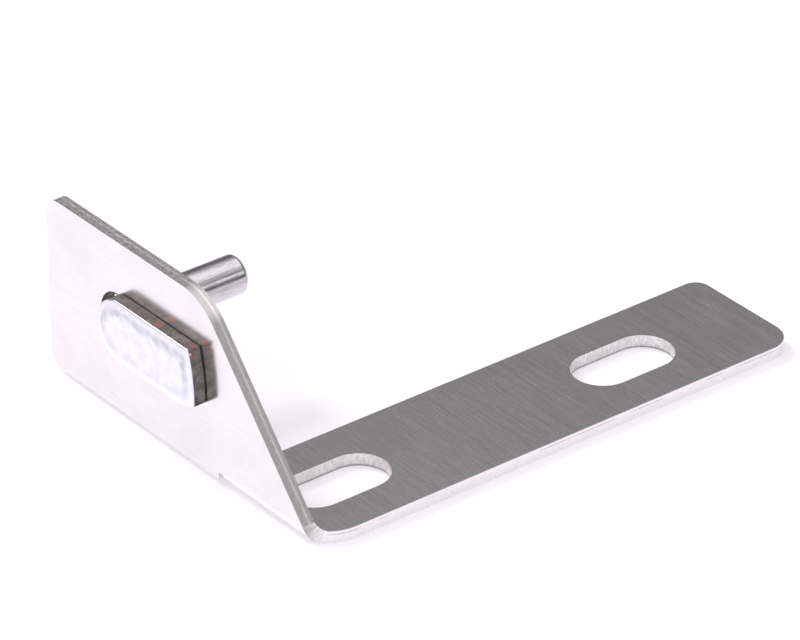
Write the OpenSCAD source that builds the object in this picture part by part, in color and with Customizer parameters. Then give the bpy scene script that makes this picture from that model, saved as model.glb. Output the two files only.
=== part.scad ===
// Hinge bracket: a steel plate folded from one blank, with two mounting slots in its base
// and a long upright flange, and a hinge pin that stands on an oblong backing plate and
// passes through the flange.
// X runs along the base, away from the flange, and Z points up. Y runs across the base: its
// near edge is on the -Y side, and the flange reaches far past its other edge.
// The origin is midway between the two slots, on the underside of the base.

/* [Sheet] */
// Thickness of the folded sheet, 12 gauge
sheet_t = 2.66; // [1.5:0.01:4]
// Inside radius of the bend
bend_r = 0.8; // [0.5:0.1:3]
// Place of the neutral line in the bend, as a share of the sheet's thickness
neutral_share = 0.42; // [0.3:0.01:0.5]

/* [Base] */
// Length of the base from the flange's outer face
base_len = 114.3; // [105:0.1:180]
// Width of the base
base_w = 28.5; // [22:0.5:50]
// Radius of the near corner at the free end
near_corner_r = 5.5; // [0.5:0.1:8]
// Radius of the far corner at the free end
far_corner_r = 3; // [0.5:0.1:8]
// Width of a slot
slot_w = 12.3; // [6:0.1:18]
// Length of a slot from end to end
slot_len = 22.3; // [19:0.1:35]
// Distance between the centres of the two slots
slot_pitch = 68.1; // [40:0.1:76]
// Plain metal between the bend line and the end of the first slot
slot_setback = 0.6; // [0:0.1:6]

/* [Flange] */
// Height of the flange above the underside of the base
flange_h = 37.6; // [34:0.1:60]
// Distance from the base's near edge to the flange's far edge
flange_reach = 82.5; // [74:0.5:120]
// Angle between the slanted near edge and the upright
slant = 41.1; // [15:0.1:42]
// Distance of the slanted edge from the base's near edge, at the top of the bend
slant_foot = 4.4; // [1:0.1:6]
// Radius that blends the base's near edge into the slanted edge, on the flat blank
sweep_r = 9; // [4:0.5:28]
// Radius of the upper near corner
top_near_r = 12.5; // [2:0.5:16]
// Radius of the upper far corner
top_far_r = 3.5; // [0.5:0.1:10]
// Radius of the lower far corner
bottom_far_r = 3; // [0.5:0.1:10]
// Height of the flange's free lower edge above the underside
free_edge_z = 1.2; // [0.5:0.1:3.5]
// Width of the relief notch between the base and the free lower edge
relief_w = 1.2; // [0.5:0.1:4]
// Height of the relief notch above the free lower edge
relief_h = 1.5; // [0.5:0.1:4]

/* [Hinge pin] */
// Diameter of the pin, 5/16 in
pin_d = 7.94; // [5:0.01:9]
// Distance of the pin's axis from the base's near edge
pin_y = 60.2; // [54:0.1:68]
// Height of the pin's axis above the underside
pin_z = 21; // [16:0.1:26]
// Reach of the pin's tip from the flange's outer face
pin_reach = 27.6; // [12:0.1:60]
// Chamfer at the pin's tip
pin_chamfer = 0.8; // [0.2:0.1:2]
// Gap all round between the pin and its hole in the flange
pin_clearance = 1.23; // [0.2:0.01:2]

/* [Backing plate] */
// Length of the backing plate along the flange
plate_len = 29.9; // [20:0.1:32]
// Height of the backing plate, which its far end's round takes up in full
plate_h = 12.8; // [10:0.1:18]
// Height of the backing plate's side wall, up to the sloped rim
plate_wall = 2.8; // [1.5:0.1:5]
// Reach of the backing plate past the pin's axis
plate_past_pin = 2.7; // [0:0.1:8]
// Rise of the sloped rim above the side wall
rim_rise = 0.4; // [0.1:0.1:1]
// Width of the sloped rim
rim_w = 2; // [0.5:0.1:3]
// Radius of the shallow arc that ends the backing plate on the near side
near_end_r = 39; // [25:1:80]
// Distance of that arc's centre below the backing plate's centreline
near_end_drop = 4.05; // [0:0.05:6]
// Height of the piece sheared off the lower near corner
shear_h = 1.45; // [0.5:0.05:4]
// Length of the piece sheared off the lower near corner
shear_len = 4.5; // [1:0.1:8]

/* [Hidden] */
$fn = 96;

// How far every cutter runs past the metal it cuts
over = 1;

// Number of short steps that follow the sweep in the base, in the bend and in the flange
sweep_steps = 16;

// Bend: outer radius, and the length of blank that it takes up
bend_ro = bend_r + sheet_t;
bend_len = (bend_r + neutral_share * sheet_t) * PI / 2;

// Slots, from the flange's outer face and the base's near edge
slot_1_x = bend_ro + slot_setback + slot_len / 2;
slot_y = base_w / 2;
origin_x = slot_1_x + slot_pitch / 2;

// Near edge of the flat blank. On it u is the distance from the base's bend line towards the
// flange, and y is the distance from the base's near edge.
vertex_u = bend_len - slant_foot / tan(slant);
sweep_tangent = sweep_r * tan(slant / 2);
sweep_start_u = vertex_u - sweep_tangent;
sweep_end_u = vertex_u + sweep_tangent * cos(slant);

// Where the sweep ends in the base and in the flange, or else the bend line on that side
base_sweep_u = min(sweep_start_u, 0);
flange_sweep_u = max(sweep_end_u, bend_len);

// Upper near corner of the flange, where the slanted edge would meet the top edge
top_near_y = slant_foot + (flange_h - bend_ro) * tan(slant);

// Pin and backing plate
pin_r = pin_d / 2;
hole_r = pin_r + pin_clearance;
plate_far_y = pin_y + plate_past_pin;
plate_near_y = plate_far_y - plate_len;
plate_bottom_z = pin_z - plate_h / 2;
far_end_r = plate_h / 2;

// The blank's near edge as a height y over u: straight, then the sweep, then the slant
function near_edge(u) =
    u < sweep_start_u ? 0 :
    u < sweep_end_u ? sweep_r - sqrt(pow(sweep_r, 2) - pow(u - sweep_start_u, 2)) :
    (u - vertex_u) * tan(slant);

// Points of the near edge from one u to another, which follow the sweep in short steps
function edge_points(from, to) =
    from == to ? [[from, near_edge(from)]] :
    [for (i = [0:sweep_steps]) let(u = from + (to - from) * i / sweep_steps) [u, near_edge(u)]];

// Puts geometry that is measured from the flange's outer face and the base's near edge
// into the bracket's own frame
module from_origin() {
    translate([-origin_x, -slot_y, 0]) children();
}

// Stands an outline drawn in Y and Z on the flange's outer face and thickens it along +X
module upright(thickness) {
    rotate([90, 0, 90]) linear_extrude(thickness) children();
}

// What rounding takes off a corner: its point, the directions of its two edges and the radius
module corner_waste(corner, edge_1, edge_2, radius) {
    middle = (edge_1 + edge_2) / norm(edge_1 + edge_2);
    half_angle = acos(middle * edge_1);
    reach = radius / tan(half_angle);
    centre = corner + middle * radius / sin(half_angle);
    difference() {
        polygon([corner - middle * over, corner + edge_1 * reach, centre, corner + edge_2 * reach]);
        translate(centre) circle(radius);
    }
}

module obround(length, width) {
    span = length - width;
    square([span, width], center = true);
    for (side = [-1, 1]) translate([side * span / 2, 0]) circle(d = width);
}

module base_sheet() {
    linear_extrude(sheet_t) difference() {
        translate([bend_ro, 0]) square([base_len - bend_ro, base_w]);
        corner_waste([base_len, 0], [-1, 0], [0, 1], near_corner_r);
        corner_waste([base_len, base_w], [-1, 0], [0, -1], far_corner_r);
        polygon([
            for (p = edge_points(0, base_sweep_u)) [bend_ro - p.x, p.y],
            [bend_ro - base_sweep_u, -over],
            [bend_ro - over, -over],
            [bend_ro - over, near_edge(0)]
        ]);
        for (i = [0, 1]) translate([slot_1_x + i * slot_pitch, slot_y]) obround(slot_len, slot_w);
    }
}

// The waste beside the near edge, wrapped round the bend. Each section stands square to the
// sheet, as a punched edge does, and its height follows the edge of the flat blank.
module bend_waste() {
    inner = bend_r / 2;
    outer = bend_ro + over;
    sections = [for (i = [-1:sweep_steps + 1]) let(
        turn = 90 * i / sweep_steps,
        y = near_edge(bend_len * i / sweep_steps)
    ) [
        [bend_ro - inner * sin(turn), -over, bend_ro - inner * cos(turn)],
        [bend_ro - outer * sin(turn), -over, bend_ro - outer * cos(turn)],
        [bend_ro - outer * sin(turn), y, bend_ro - outer * cos(turn)],
        [bend_ro - inner * sin(turn), y, bend_ro - inner * cos(turn)]
    ]];
    last = 4 * (len(sections) - 1);
    sides = [for (i = [0:4:last - 4], k = [0:3]) let(
        a = i + k,
        b = i + (k + 1) % 4
    ) each [[a, b, a + 4], [b, b + 4, a + 4]]];
    ends = [[2, 1, 0], [3, 2, 0], [last, last + 1, last + 2], [last, last + 2, last + 3]];
    polyhedron([for (section = sections) each section], concat(sides, ends));
}

module bend() {
    difference() {
        translate([bend_ro, 0, bend_ro]) rotate([-90, 0, 0]) rotate([0, 0, 90])
            rotate_extrude(angle = 90) translate([bend_r, 0]) square([sheet_t, base_w]);
        bend_waste();
    }
}

module flange_outline() {
    difference() {
        translate([0, free_edge_z]) square([flange_reach, flange_h - free_edge_z]);
        translate([-over, 0]) square([base_w + over, bend_ro]);
        translate([base_w - over, 0]) square([relief_w + over, free_edge_z + relief_h]);
        polygon([
            for (p = edge_points(bend_len, flange_sweep_u)) [p.y, bend_ro + p.x - bend_len],
            [top_near_y, flange_h],
            [top_near_y, flange_h + over],
            [-over, flange_h + over],
            [-over, bend_ro - over],
            [slant_foot, bend_ro - over]
        ]);
        corner_waste([top_near_y, flange_h], [1, 0], [-sin(slant), -cos(slant)], top_near_r);
        corner_waste([flange_reach, flange_h], [-1, 0], [0, -1], top_far_r);
        corner_waste([flange_reach, free_edge_z], [-1, 0], [0, 1], bottom_far_r);
    }
}

module flange() {
    difference() {
        upright(sheet_t) flange_outline();
        translate([-over, pin_y, pin_z]) rotate([0, 90, 0]) cylinder(sheet_t + 2 * over, hole_r, hole_r);
    }
}

module bracket_plate() {
    color("silver") from_origin() {
        base_sheet();
        bend();
        flange();
    }
}

module hinge_pin() {
    shank = pin_reach - pin_chamfer;
    color("darkgray") from_origin() translate([0, pin_y, pin_z]) rotate([0, 90, 0]) {
        cylinder(shank, pin_r, pin_r);
        translate([0, 0, shank]) cylinder(pin_chamfer, pin_r, pin_r - pin_chamfer);
    }
}

// The backing plate as a bar with a sloped rim, round at its far end
module plate_bar() {
    round_y = plate_far_y - far_end_r;
    span = round_y - plate_near_y;
    top_r = far_end_r - rim_w;
    translate([-plate_wall, 0, 0]) upright(plate_wall) {
        translate([plate_near_y, plate_bottom_z]) square([span, plate_h]);
        translate([round_y, pin_z]) circle(far_end_r);
    }
    translate([-plate_wall, round_y, pin_z]) rotate([0, -90, 0])
        cylinder(rim_rise, far_end_r, top_r);
    translate([-plate_wall, plate_near_y, pin_z]) rotate([-90, 0, 0]) linear_extrude(span)
        polygon([[0, -far_end_r], [0, far_end_r], [-rim_rise, top_r], [-rim_rise, -top_r]]);
}

// Section of the metal outside an edge of the backing plate. Its X is the distance in from
// the edge, and its Y is the distance out from the flange.
module rim_profile() {
    run = 1.5;
    top = plate_wall + rim_rise * run;
    polygon([
        [-far_end_r, -over],
        [0, -over],
        [0, plate_wall],
        [rim_w * run, top],
        [-far_end_r, top]
    ]);
}

// What the shallow arc of the near end takes off the bar
module near_end_waste() {
    translate([0, plate_near_y + near_end_r, pin_z - near_end_drop])
        rotate([0, -90, 0]) rotate([0, 0, 180])
            rotate_extrude(angle = 180) translate([near_end_r, 0]) mirror([1, 0]) rim_profile();
}

// What the straight cut takes off the lower near corner
module sheared_corner() {
    plate_t = plate_wall + rim_rise;
    translate([-plate_t - over, 0, 0]) upright(plate_t + 2 * over) polygon([
        [plate_near_y - over, plate_bottom_z + shear_h * (1 + over / shear_len)],
        [plate_near_y - over, plate_bottom_z - over],
        [plate_near_y + shear_len * (1 + over / shear_h), plate_bottom_z - over]
    ]);
}

module backing_plate() {
    color("lightsteelblue") from_origin() difference() {
        plate_bar();
        near_end_waste();
        sheared_corner();
    }
}

bracket_plate();
hinge_pin();
backing_plate();
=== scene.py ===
"""Hinge bracket on a glossy white table, at the photograph's viewing angle.

Everything is in metres, in the CAD model's frame: the origin is midway between the two slots
on the underside of the base, X runs along the base, and Z points up.
"""

import math

import bpy
from mathutils import Matrix, Vector


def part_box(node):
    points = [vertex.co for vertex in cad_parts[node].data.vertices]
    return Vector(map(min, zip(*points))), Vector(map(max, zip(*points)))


MM = 0.001

# Photograph
IMAGE_WIDTH_PX = 800
SENSOR_MM = 36.0
FOCAL_PX = 5482.0
CAMERA_AZIMUTH = -38.026
CAMERA_ELEVATION = 30.606
CAMERA_ROLL = -0.224
CAMERA_AT = Vector((-544.76, -672.03, 535.74)) * MM

# Bracket
SHEET = 2.66 * MM
BEND_OUTER = 3.46 * MM
SLOT_HALF_WIDTH = 6.15 * MM
SLOT_TO_END = 6 * MM
HOLE_RADIUS = 5.2 * MM
PIN_AXIS_Y = 45.95 * MM
PIN_AXIS_Z = 21 * MM

# Oblong plate: its far end's centre, and the arc of its near end
HEAD_ROUND_Y = 42.25 * MM
HEAD_HALF_HEIGHT = 6.4 * MM
END_ARC_RADIUS = 39 * MM
END_ARC_Y = 57.75 * MM
END_ARC_Z = 16.95 * MM
RUST_SPOTS = (
    ((-50.4, 31.2, 27.3), 0.95),
    ((-50.4, 21.0, 27.2), 0.9),
    ((-51.6, 20.2, 26.2), 0.8),
    ((-50.2, 40.5, 27.3), 0.6),
)

# Edge rounding. The bracket's fine bend leaves no room for any, so its edges stay sharp.
PIN_ROUNDING = 0.35 * MM
HEAD_ROUNDING = 0.25 * MM
SHARP_ANGLE = 35

# Light, where 1 is the radiance of a white surface under plain light
ROOM = 0.17
HIGH_ROOM = 0.6
CEILING = 1.3
CEILING_OPENING = 0.5
FRONT_STRIP = 1.3
LEFT_WALL = 0.95
TABLE_GLOW = 0.33
WINDOW_LIGHT = 1.1
WINDOW_WIDTH = 15
TO_WINDOW = Vector((-0.15, 0.72, 0.68))

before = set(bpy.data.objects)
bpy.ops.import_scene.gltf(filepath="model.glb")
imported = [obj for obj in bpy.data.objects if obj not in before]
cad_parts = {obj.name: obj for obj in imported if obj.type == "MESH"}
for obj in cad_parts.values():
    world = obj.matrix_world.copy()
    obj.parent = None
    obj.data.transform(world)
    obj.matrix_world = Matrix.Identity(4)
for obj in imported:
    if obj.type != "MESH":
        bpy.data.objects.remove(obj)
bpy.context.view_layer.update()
plate_low, plate_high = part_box("bracket_plate")
bend_line_x = plate_low.x + BEND_OUTER


class Graph:
    """The nodes of a material or of the world."""

    def __init__(self, owner):
        owner.use_nodes = True
        self.owner = owner
        self.tree = owner.node_tree
        self.tree.nodes.clear()

    def node(self, kind, inputs=None, **settings):
        made = self.tree.nodes.new(kind)
        for key, value in settings.items():
            setattr(made, key, value)
        for key, value in (inputs or {}).items():
            self.feed(made.inputs[key], value)
        return made

    def feed(self, socket, value):
        if isinstance(value, bpy.types.NodeSocket):
            self.tree.links.new(value, socket)
        else:
            socket.default_value = value

    def math(self, operation, a, b=0.0, clamp=False):
        made = self.node("ShaderNodeMath", {0: a, 1: b}, operation=operation, use_clamp=clamp)
        return made.outputs[0]

    def position(self):
        return self.node("ShaderNodeTexCoord").outputs["Object"]

    def split(self, vector):
        return self.node("ShaderNodeSeparateXYZ", {0: vector}).outputs

    def scaled(self, vector, scale):
        made = self.node("ShaderNodeVectorMath", {0: vector, 1: scale}, operation="MULTIPLY")
        return made.outputs[0]

    def noise(self, vector, scale=1.0, detail=3.0, roughness=0.6):
        made = self.node(
            "ShaderNodeTexNoise",
            {"Vector": vector, "Scale": scale, "Detail": detail, "Roughness": roughness},
        )
        return made.outputs["Fac"]

    def ramp(self, value, low, high, to_low=0.0, to_high=1.0, smooth=True):
        kind = "SMOOTHSTEP" if smooth else "LINEAR"
        made = self.node(
            "ShaderNodeMapRange",
            {"Value": value, "From Min": low, "From Max": high, "To Min": to_low, "To Max": to_high},
            interpolation_type=kind,
        )
        return made.outputs["Result"]

    def mix(self, factor, a, b):
        made = self.node("ShaderNodeMix", data_type="RGBA")
        self.feed(made.inputs[0], factor)
        self.feed(made.inputs[6], a)
        self.feed(made.inputs[7], b)
        return made.outputs[2]

    def bell(self, value, centre, half_width):
        """1 at the centre, falling smoothly to 0 half a width to either side."""
        away = self.math("ABSOLUTE", self.math("SUBTRACT", value, centre))
        return self.ramp(away, 0.0, half_width, 1.0, 0.0)

    def length(self, a, b):
        squares = self.math("ADD", self.math("MULTIPLY", a, a), self.math("MULTIPLY", b, b))
        return self.math("SQRT", squares)

    def bump(self, height, strength, distance):
        made = self.node(
            "ShaderNodeBump", {"Height": height, "Strength": strength, "Distance": distance}
        )
        return made.outputs["Normal"]

    def finish(self, shader, output="ShaderNodeOutputMaterial"):
        self.tree.links.new(shader.outputs[0], self.node(output).inputs["Surface"])
        return self.owner


def rgb(red, green, blue):
    """A colour given as it shows on screen, from 0 to 255, as Blender's linear values."""
    def linear(value):
        value = value / 255
        return value / 12.92 if value <= 0.04045 else ((value + 0.055) / 1.055) ** 2.4

    return (linear(red), linear(green), linear(blue), 1.0)


def brushed_sheet():
    """Stainless sheet: grain across the base and along the flange, and smoother cut edges."""
    g = Graph(bpy.data.materials.new("brushed_sheet"))
    place = g.position()
    x, y, z = g.split(place)
    normal_x, normal_y, normal_z = g.split(g.node("ShaderNodeNewGeometry").outputs["True Normal"])
    on_base = g.math("GREATER_THAN", x, bend_line_x)
    on_flange = g.math("GREATER_THAN", z, BEND_OUTER)
    off_z = g.math("LESS_THAN", g.math("ABSOLUTE", normal_z), 0.3)
    off_x = g.math("LESS_THAN", g.math("ABSOLUTE", normal_x), 0.3)
    off_bend = g.math("GREATER_THAN", g.math("ABSOLUTE", normal_y), 0.4)
    neither = g.math("SUBTRACT", g.math("SUBTRACT", 1.0, on_base), on_flange, clamp=True)
    flange_edge = g.math("MULTIPLY", g.math("SUBTRACT", on_flange, on_base, clamp=True), off_x)
    base_edge = g.math("MULTIPLY", on_base, off_z)
    bend_edge = g.math("MULTIPLY", neither, off_bend)
    edge = g.math("ADD", flange_edge, g.math("ADD", base_edge, bend_edge), clamp=True)

    grain = g.noise(g.scaled(place, (6500.0, 70.0, 6500.0)), detail=4.0, roughness=0.65)
    fine = g.noise(g.scaled(place, (16000.0, 300.0, 16000.0)), detail=2.0)
    streaks = g.math("ADD", g.math("MULTIPLY", grain, 0.6), g.math("MULTIPLY", fine, 0.4))
    clouds = g.noise(place, scale=60.0, detail=3.0)
    face_colour = g.mix(g.ramp(streaks, 0.35, 0.65), rgb(240, 237, 237), rgb(251, 248, 248))
    face_colour = g.mix(g.ramp(clouds, 0.35, 0.7, 0.0, 0.25), face_colour, rgb(222, 218, 217))

    # Cut edges: a lighter line in mid thickness on the flange, a brown one along the base's top
    depth = g.math("DIVIDE", g.math("SUBTRACT", x, plate_low.x), SHEET)
    torn = g.noise(g.scaled(place, (3000.0, 900.0, 900.0)), detail=5.0, roughness=0.7)
    torn_depth = g.math("ADD", depth, g.ramp(torn, 0.3, 0.7, -0.06, 0.06, smooth=False))
    mid_line = g.bell(torn_depth, 0.62, 0.16)
    flange_cut = g.mix(mid_line, rgb(218, 213, 212), rgb(254, 251, 251))
    height_share = g.math("DIVIDE", z, SHEET)
    burr = g.ramp(height_share, 0.9, 0.97)
    base_cut = g.mix(g.math("MULTIPLY", burr, 0.75), rgb(250, 244, 246), rgb(120, 98, 92))
    scratch_length = g.ramp(g.noise(place, scale=90.0, detail=1.0), 0.5, 0.56)
    scratch = g.math("MULTIPLY", g.bell(height_share, 0.7, 0.07), scratch_length)
    base_cut = g.mix(g.math("MULTIPLY", scratch, 0.5), base_cut, rgb(140, 125, 122))
    in_slot = g.math("LESS_THAN", g.math("ABSOLUTE", y), SLOT_HALF_WIDTH + 0.3 * MM)
    in_slot = g.math("MULTIPLY", in_slot, g.math("LESS_THAN", x, plate_high.x - SLOT_TO_END))
    slot_cut = g.mix(g.ramp(torn, 0.35, 0.65), rgb(206, 201, 200), rgb(242, 238, 238))
    slot_cut = g.mix(g.ramp(height_share, 0.08, 0.2, 0.6, 0.0), slot_cut, rgb(120, 112, 112))
    base_cut = g.mix(in_slot, base_cut, slot_cut)
    colour = g.mix(edge, face_colour, rgb(246, 242, 243))
    colour = g.mix(flange_edge, colour, flange_cut)
    colour = g.mix(base_edge, colour, base_cut)

    # Painted shade: the hole round the pin is painted dark brown inside, and made less metallic, for
    # the shade in its recess behind the plate
    from_pin = g.length(g.math("SUBTRACT", y, PIN_AXIS_Y), g.math("SUBTRACT", z, PIN_AXIS_Z))
    hole_shade_mask = g.math("LESS_THAN", from_pin, HOLE_RADIUS + 0.25 * MM)
    colour = g.mix(hole_shade_mask, colour, rgb(58, 46, 42))

    face_roughness = g.ramp(streaks, 0.3, 0.7, 0.15, 0.23)
    roughness = g.mix(edge, face_roughness, g.ramp(torn, 0.3, 0.7, 0.24, 0.4))
    grain_height = g.math("MULTIPLY", streaks, g.math("SUBTRACT", 1.0, edge))
    grain_height = g.math("MULTIPLY", grain_height, g.ramp(on_base, 0.0, 1.0, 0.25, 1.6))
    torn_height = g.math("MULTIPLY", torn, g.math("MULTIPLY", edge, 0.7))
    across = g.node("ShaderNodeCombineXYZ", {0: 0.0, 1: 1.0, 2: 0.0}).outputs[0]
    shader = g.node(
        "ShaderNodeBsdfPrincipled",
        {
            "Base Color": colour,
            # Painted shade: less metallic inside the hole round the pin
            "Metallic": g.math("SUBTRACT", 1.0, g.math("MULTIPLY", hole_shade_mask, 0.6)),
            "Roughness": roughness,
            "Anisotropic": 0.5,
            "Anisotropic Rotation": 0.25,
            "Tangent": across,
            "Normal": g.bump(g.math("ADD", grain_height, torn_height), 0.25, 0.00002),
        },
    )
    return g.finish(shader)


def drawn_bar():
    """Drawn bar with fine lines along it and a few dull patches."""
    g = Graph(bpy.data.materials.new("drawn_bar"))
    place = g.position()
    lines = g.noise(g.scaled(place, (250.0, 7000.0, 7000.0)), detail=3.0)
    patches = g.noise(g.scaled(place, (500.0, 1200.0, 1200.0)), detail=4.0)
    colour = g.mix(g.ramp(lines, 0.35, 0.65), rgb(198, 195, 198), rgb(222, 219, 223))
    colour = g.mix(g.ramp(patches, 0.5, 0.75, 0.0, 0.5), colour, rgb(176, 172, 174))
    shader = g.node(
        "ShaderNodeBsdfPrincipled",
        {
            "Base Color": colour,
            "Metallic": 1.0,
            "Roughness": g.ramp(patches, 0.3, 0.7, 0.15, 0.26),
            "Normal": g.bump(lines, 0.3, 0.00002),
        },
    )
    return g.finish(shader)


def near_spot(g, place, centre, radius, raggedness):
    """1 inside a ragged spot round a point, 0 outside it. Lengths are in millimetres."""
    offset = g.node(
        "ShaderNodeVectorMath",
        {0: place, 1: tuple(value * MM for value in centre)},
        operation="DISTANCE",
    )
    away = g.math("ADD", offset.outputs["Value"], raggedness)
    return g.ramp(away, radius * 0.8 * MM, radius * 1.1 * MM, 1.0, 0.0)


def plated_steel():
    """Satin plate on the face and its sloped rim, and bare brown metal on the sheared walls. Painted
    shade greys the face's crease and outline, and darkens the walls where they meet the flange.
    """
    g = Graph(bpy.data.materials.new("plated_steel"))
    place = g.position()
    x, y, z = g.split(place)
    normal_x = g.split(g.node("ShaderNodeNewGeometry").outputs["True Normal"])[0]
    wall = g.math("GREATER_THAN", normal_x, -0.6)
    clouds = g.noise(place, scale=420.0, detail=5.0)
    face = g.mix(g.ramp(clouds, 0.3, 0.7), rgb(234, 233, 241), rgb(248, 248, 254))

    # Painted shade along the crease where the sloped rim meets the flat face, greyest above and at
    # the near end: a grey line for the darker room that the change of slope reflects
    past_straight = g.math("MAXIMUM", g.math("SUBTRACT", y, HEAD_ROUND_Y), 0.0)
    above_axis = g.math("SUBTRACT", z, PIN_AXIS_Z)
    from_bar_edge = g.math("SUBTRACT", HEAD_HALF_HEIGHT, g.length(past_straight, above_axis))
    from_end_centre = g.length(
        g.math("SUBTRACT", y, END_ARC_Y), g.math("SUBTRACT", z, END_ARC_Z)
    )
    from_end_edge = g.math("SUBTRACT", END_ARC_RADIUS, from_end_centre)
    inside = g.math("MINIMUM", from_bar_edge, from_end_edge)
    wander = g.ramp(clouds, 0.3, 0.7, -0.3 * MM, 0.3 * MM, smooth=False)
    crease_shade = g.bell(g.math("ADD", inside, wander), 2.1 * MM, 1.5 * MM)
    crease_shade = g.math("MULTIPLY", crease_shade, g.ramp(z, 16 * MM, 24 * MM, 0.25, 0.85))
    blotches = g.ramp(g.noise(place, scale=500.0, detail=4.0), 0.35, 0.65, 0.35, 0.9)
    face = g.mix(g.math("MULTIPLY", crease_shade, blotches), face, rgb(186, 186, 196))
    # Painted shade along the face's outline, where its rim turns away from the light
    outline_shade = g.ramp(inside, 0.1 * MM, 0.7 * MM, 0.25, 0.0)
    face = g.mix(outline_shade, face, rgb(186, 184, 192))

    # Sheared walls: brown, with darker streaks through the thickness, rust, bright chips and painted
    # shade where they meet the flange
    streaks = g.noise(g.scaled(place, (520.0, 620.0, 620.0)), detail=7.0, roughness=0.75)
    patches = g.noise(place, scale=260.0, detail=4.0)
    bare = g.mix(g.ramp(streaks, 0.3, 0.7), rgb(86, 75, 72), rgb(158, 150, 148))
    bare = g.mix(g.ramp(patches, 0.45, 0.7, 0.0, 0.7), bare, rgb(112, 104, 104))
    ragged = g.ramp(g.noise(place, scale=900.0, detail=4.0), 0.3, 0.7, -0.5 * MM, 0.5 * MM)
    rust = 0.0
    for centre, radius in RUST_SPOTS:
        rust = g.math("MAXIMUM", rust, near_spot(g, place, centre, radius, ragged))
    bare = g.mix(g.math("MULTIPLY", rust, 0.85), bare, rgb(158, 112, 100))
    # Painted shade, near black, in the gap where the walls meet the flange
    contact_shade = g.ramp(x, plate_low.x - 0.45 * MM, plate_low.x - 0.1 * MM)
    bare = g.mix(g.math("MULTIPLY", contact_shade, 0.85), bare, rgb(38, 28, 26))
    chip = near_spot(g, place, (-52.3, 20.2, 27.0), 0.7, ragged)
    bare = g.mix(chip, bare, rgb(232, 226, 228))
    shader = g.node(
        "ShaderNodeBsdfPrincipled",
        {
            "Base Color": g.mix(wall, face, bare),
            "Metallic": g.ramp(wall, 0.0, 1.0, 1.0, 0.6),
            "Roughness": g.ramp(wall, 0.0, 1.0, 0.28, 0.48),
            "Normal": g.bump(streaks, g.ramp(wall, 0.0, 1.0, 0.02, 0.4), 0.0001),
        },
    )
    return g.finish(shader)


def sharp_edges(mesh):
    """The mesh's edges whose faces meet at a sharp angle, found by place, as it isn't welded."""
    def place(edge):
        return frozenset(
            tuple(round(value, 7) for value in mesh.vertices[index].co) for index in edge
        )

    normals = {}
    for face in mesh.polygons:
        for edge in face.edge_keys:
            normals.setdefault(place(edge), []).append(face.normal)
    limit = math.cos(math.radians(SHARP_ANGLE))
    return [
        edge
        for edge in mesh.edges
        if len(normals[place(edge.vertices)]) == 2
        and normals[place(edge.vertices)][0].dot(normals[place(edge.vertices)][1]) < limit
    ]


def finish_edges(node, rounding=0.0):
    """Shades a CAD node's curves smooth. Its sharp edges are rounded a little or stay sharp."""
    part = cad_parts[node]
    mesh = part.data
    for face in mesh.polygons:
        face.use_smooth = True
    weights = mesh.attributes.new("bevel_weight_edge", "FLOAT", "EDGE")
    for edge in sharp_edges(mesh):
        edge.use_edge_sharp = not rounding
        weights.data[edge.index].value = 1.0
    part.modifiers.new("Join", "WELD").merge_threshold = 1e-6
    flat = part.modifiers.new("Flat", "DECIMATE")
    flat.decimate_type = "DISSOLVE"
    flat.angle_limit = math.radians(0.5)
    if rounding:
        bevel = part.modifiers.new("Edges", "BEVEL")
        bevel.width = rounding
        bevel.segments = 3
        bevel.limit_method = "WEIGHT"
        bevel.face_strength_mode = "FSTR_ALL"
    normals = part.modifiers.new("Normals", "WEIGHTED_NORMAL")
    normals.use_face_influence = bool(rounding)
    normals.keep_sharp = True


def dress(node, material):
    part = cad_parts[node]
    part.data.materials.clear()
    part.data.materials.append(material)


def table():
    """A glossy white table. Views and reflections of it gain light, so that it shows white."""
    g = Graph(bpy.data.materials.new("white_table"))
    rays = g.node("ShaderNodeLightPath").outputs
    seen = g.math("ADD", rays["Is Camera Ray"], rays["Is Glossy Ray"])
    seen = g.math("ADD", seen, rays["Is Transmission Ray"], clamp=True)
    shader = g.node(
        "ShaderNodeBsdfPrincipled",
        {
            "Base Color": rgb(236, 233, 240),
            "Roughness": 0.18,
            "Emission Color": rgb(255, 255, 255),
            "Emission Strength": g.math("MULTIPLY", seen, TABLE_GLOW),
        },
    )
    mesh = bpy.data.meshes.new("table")
    half = 6.0
    mesh.from_pydata(
        [(-half, -half, 0.0), (half, -half, 0.0), (half, half, 0.0), (-half, half, 0.0)],
        [],
        [(0, 1, 2, 3)],
    )
    top = bpy.data.objects.new("table", mesh)
    mesh.materials.append(g.finish(shader))
    bpy.context.scene.collection.objects.link(top)


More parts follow.
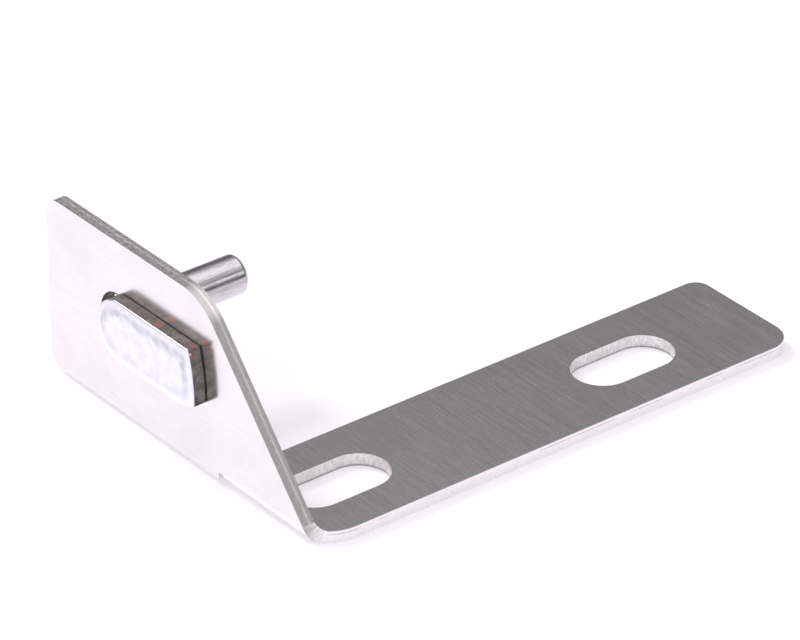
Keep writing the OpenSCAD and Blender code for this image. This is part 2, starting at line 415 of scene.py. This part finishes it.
def studio():
    """A grey room with a bright ceiling, a low light strip in front and a lit wall at the left."""
    world = bpy.data.worlds.new("studio")
    bpy.context.scene.world = world
    g = Graph(world)
    x, y, z = g.split(g.node("ShaderNodeTexCoord").outputs["Generated"])

    def at(elevation):
        return math.sin(math.radians(elevation))

    level = g.ramp(z, at(33), at(40), ROOM, HIGH_ROOM)
    level = g.math("ADD", level, g.ramp(z, at(47), at(56), 0.0, CEILING - HIGH_ROOM))
    level = g.math("MINIMUM", level, g.ramp(z, at(66), at(74), CEILING, CEILING_OPENING))
    strip = g.math("MULTIPLY", g.ramp(z, at(16), at(20)), g.ramp(z, at(27), at(32), 1.0, 0.0))
    strip = g.math("MULTIPLY", strip, g.ramp(y, -0.6, -0.45, FRONT_STRIP, 0.0))
    left = g.math("MULTIPLY", g.ramp(z, at(1), at(6)), g.ramp(x, -0.75, -0.55, LEFT_WALL, 0.0))
    level = g.math("MAXIMUM", level, g.math("MAXIMUM", strip, left))
    background = g.node(
        "ShaderNodeBackground", {"Color": (1.0, 0.985, 1.0, 1.0), "Strength": level}
    )
    g.finish(background, "ShaderNodeOutputWorld")

    sun = bpy.data.lights.new("window", "SUN")
    sun.energy = WINDOW_LIGHT
    sun.angle = math.radians(WINDOW_WIDTH)
    lamp = bpy.data.objects.new("window", sun)
    lamp.rotation_mode = "QUATERNION"
    lamp.rotation_quaternion = TO_WINDOW.to_track_quat("Z", "Y")
    bpy.context.scene.collection.objects.link(lamp)


def camera():
    """The photograph's camera. Its axes come from its azimuth, elevation and roll."""
    azimuth, elevation, roll = (
        math.radians(a) for a in (CAMERA_AZIMUTH, CAMERA_ELEVATION, CAMERA_ROLL)
    )
    back = Vector((
        math.sin(azimuth) * math.cos(elevation),
        -math.cos(azimuth) * math.cos(elevation),
        math.sin(elevation),
    ))
    right = Vector((math.cos(azimuth), math.sin(azimuth), 0.0))
    up = back.cross(right)
    turned_right = right * math.cos(roll) + up * math.sin(roll)
    turned_up = up * math.cos(roll) - right * math.sin(roll)
    data = bpy.data.cameras.new("camera")
    data.sensor_width = SENSOR_MM
    data.lens = FOCAL_PX * SENSOR_MM / IMAGE_WIDTH_PX
    data.clip_start = 0.01
    data.clip_end = 50.0
    made = bpy.data.objects.new("camera", data)
    turn = Matrix((turned_right, turned_up, back)).transposed()
    made.matrix_world = Matrix.Translation(CAMERA_AT) @ turn.to_4x4()
    bpy.context.scene.collection.objects.link(made)
    bpy.context.scene.camera = made


camera()
dress("bracket_plate", brushed_sheet())
dress("hinge_pin", drawn_bar())
dress("backing_plate", plated_steel())
finish_edges("bracket_plate")
finish_edges("hinge_pin", PIN_ROUNDING)
finish_edges("backing_plate", HEAD_ROUNDING)
table()
studio()
bpy.context.scene.view_settings.view_transform = "Standard"
